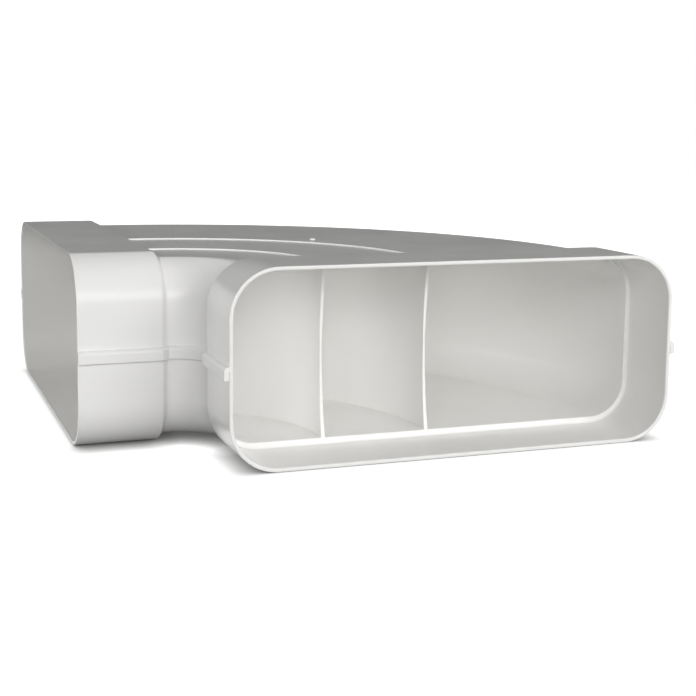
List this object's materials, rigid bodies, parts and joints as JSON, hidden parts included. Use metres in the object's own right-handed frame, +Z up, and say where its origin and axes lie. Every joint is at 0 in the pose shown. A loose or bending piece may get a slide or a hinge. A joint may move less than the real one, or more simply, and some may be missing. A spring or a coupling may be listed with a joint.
{
  "type": "flat duct horizontal bend",
  "caption": "Square-turn bend for flat rectangular ventilation duct, with rounded sockets, curved turning vanes inside and a lap seam between its moulded half shells.",
  "frame": {"origin": "on the floor, under the middle of the square footprint", "axes": "+Z up through the flat roof; one mouth faces -Y and the other -X"},
  "size_m": [0.2864, 0.2864, 0.0934],
  "materials": {
    "white_plastic": "white, satin as moulded"
  },
  "bodies": {
    "root": {"lower_shell": "white_plastic", "upper_shell": "white_plastic"}
  },
  "joints": []
}
